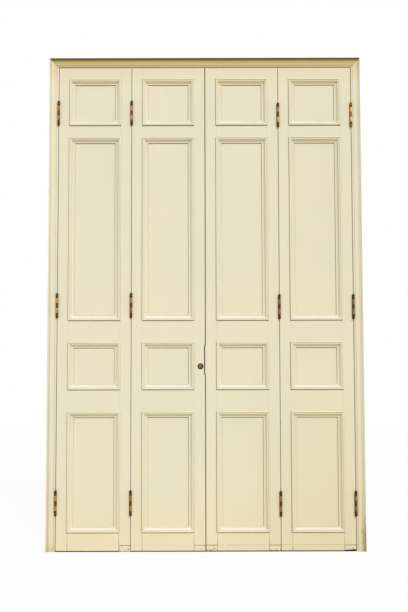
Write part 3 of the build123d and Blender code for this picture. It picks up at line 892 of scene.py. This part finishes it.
def pin_ends(name):
    """The pin's two domed heads on the end knuckles."""
    inner, outer = hinge_height / 2 - PIN_HEAD_MM * MM, hinge_height / 2 + PIN_HEAD_MM * MM
    heads = [knuckle(inner, outer, pin_radius), knuckle(-outer, -inner, pin_radius)]
    return joined(name, [in_metal(head, tarnished_brass) for head in heads])


hinge_models = {"left_plates": hinge_half("left_half", -1), "right_plates": hinge_half("right_half", 1),
                "pins": pin_ends("pin_ends")}
print({name: len(model.data.polygons) for name, model in hinge_models.items()})

# %% Twelve hinges
for line in HINGE_LINES:
    axis_low, axis_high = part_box(f"{line}_hinge_pins")
    axis_x = (axis_low.x + axis_high.x) / 2
    for part, model in hinge_models.items():
        copies = [placed_copy(model, f"{line}_{part}_{index}", (axis_x, pin_y, (low + high) / 2))
                  for index, (low, high) in enumerate(hinge_spans[line])]
        piece = joined(f"{line}_brass_{part}", copies)
        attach(piece, "root")
        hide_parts(f"{line}_hinge_{part}")
for model in hinge_models.values():
    bpy.data.objects.remove(model)
print("hinges on", len(HINGE_LINES), "lines")

# %% [markdown]
# ## The lock
#
# A round cylinder lock shows at waist height near the meeting edge: a dark rim set on the stile and a plug
# inside it, worn to a paler, pinkish brown by keys, with its keyhole.  Both are turned parts, so each
# starts as a cylinder.  The rim's recess is an inset and an extrusion, and the keyhole is cut with a
# Boolean from a round hole and a slot.

# %% The rim and the plug
bronze_rim = old_brass("dark_bronze_rim", "#432B1D", "#20120A", 0.6, 0.55)
worn_plug = old_brass("worn_bronze_plug", "#BC9582", "#7A5644", 0.2, 0.4)
rim_low, rim_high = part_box("lock_escutcheon")
plug_low, plug_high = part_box("lock_cylinder")
lock_x, lock_z = (rim_low.x + rim_high.x) / 2, (rim_low.z + rim_high.z) / 2
RIM_WALL_MM = 4.4
RIM_EDGE_MM = 0.7
RIM_RECESS_SHARE = 0.9
TURNED_SIDES = 64
SAME_PLANE = 0.01 * MM


def turned(name, radius, front, back):
    """A cylinder along Y between two planes, centred on the lock."""
    bpy.ops.object.select_all(action="DESELECT")
    bpy.ops.mesh.primitive_cylinder_add(vertices=TURNED_SIDES, radius=radius, depth=back - front,
                                        rotation=(math.pi / 2, 0, 0),
                                        location=(lock_x, (front + back) / 2, lock_z))
    bpy.ops.object.transform_apply(location=True, rotation=True, scale=True)
    piece = bpy.context.active_object
    piece.name = name
    return piece


def finish_piece(piece, material, node):
    """Material, body, and the node that the piece stands for hidden."""
    in_metal(piece, material)
    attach(piece, "root")
    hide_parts(node)


def select_front_face(piece, front):
    """Selects the face that looks out of the door at this depth, in edit mode."""
    select_only(piece)
    bpy.ops.object.mode_set(mode="EDIT")
    bpy.ops.mesh.select_mode(type="FACE")
    bpy.ops.mesh.select_all(action="DESELECT")
    bpy.ops.object.mode_set(mode="OBJECT")
    for face in piece.data.polygons:
        face.select = face.normal.y < -0.99 and abs(face.center.y - front) < SAME_PLANE
    bpy.ops.object.mode_set(mode="EDIT")


rim = turned("lock_rim", (rim_high.x - rim_low.x) / 2, rim_low.y, rim_high.y)
select_front_face(rim, rim_low.y)
bpy.ops.mesh.inset(thickness=RIM_WALL_MM * MM)
rim_recess = (rim_high.y - rim_low.y) * RIM_RECESS_SHARE
bpy.ops.mesh.extrude_region_move(TRANSFORM_OT_translate={"value": (0, rim_recess, 0)})
bpy.ops.object.mode_set(mode="OBJECT")
bevelled(rim, RIM_EDGE_MM * MM, 3, lambda first, second: max(first.y, second.y) < rim_low.y + SAME_PLANE)
finish_piece(rim, bronze_rim, "lock_escutcheon")
print("rim", len(rim.data.polygons), "faces")

# %% The plug and its keyhole
PLUG_EDGE_MM = 0.5
HOLE_RADIUS_MM = 2.1
SLOT_WIDE_MM, SLOT_HIGH_MM, SLOT_DOWN_MM = 1.6, 5.6, 3.2
CUT_OUT_MM, CUT_IN_MM = 1.0, 7.0

plug = turned("lock_plug", (plug_high.x - plug_low.x) / 2, plug_low.y, plug_high.y)
bevelled(plug, PLUG_EDGE_MM * MM, 2, lambda first, second: max(first.y, second.y) < plug_low.y + SAME_PLANE)
cut_front, cut_back = plug_low.y - CUT_OUT_MM * MM, plug_low.y + CUT_IN_MM * MM
round_hole = turned("round_hole", HOLE_RADIUS_MM * MM, cut_front, cut_back)
bpy.ops.object.select_all(action="DESELECT")
slot_middle = (lock_x, (cut_front + cut_back) / 2, lock_z - SLOT_DOWN_MM * MM)
slot_size = (SLOT_WIDE_MM * MM, cut_back - cut_front, SLOT_HIGH_MM * MM)
bpy.ops.mesh.primitive_cube_add(size=1, location=slot_middle, scale=slot_size)
bpy.ops.object.transform_apply(location=True, rotation=False, scale=True)
slot_cutter = bpy.context.active_object
for cutter in (round_hole, slot_cutter):
    select_only(plug)
    cut = plug.modifiers.new("keyhole", "BOOLEAN")
    cut.object = cutter
    cut.operation = "DIFFERENCE"
    bpy.ops.object.modifier_apply(modifier="keyhole")
    bpy.data.objects.remove(cutter)
finish_piece(plug, worn_plug, "lock_cylinder")
in_metal(nodes["lock_forend"], tarnished_brass)
print("plug", len(plug.data.polygons), "faces")
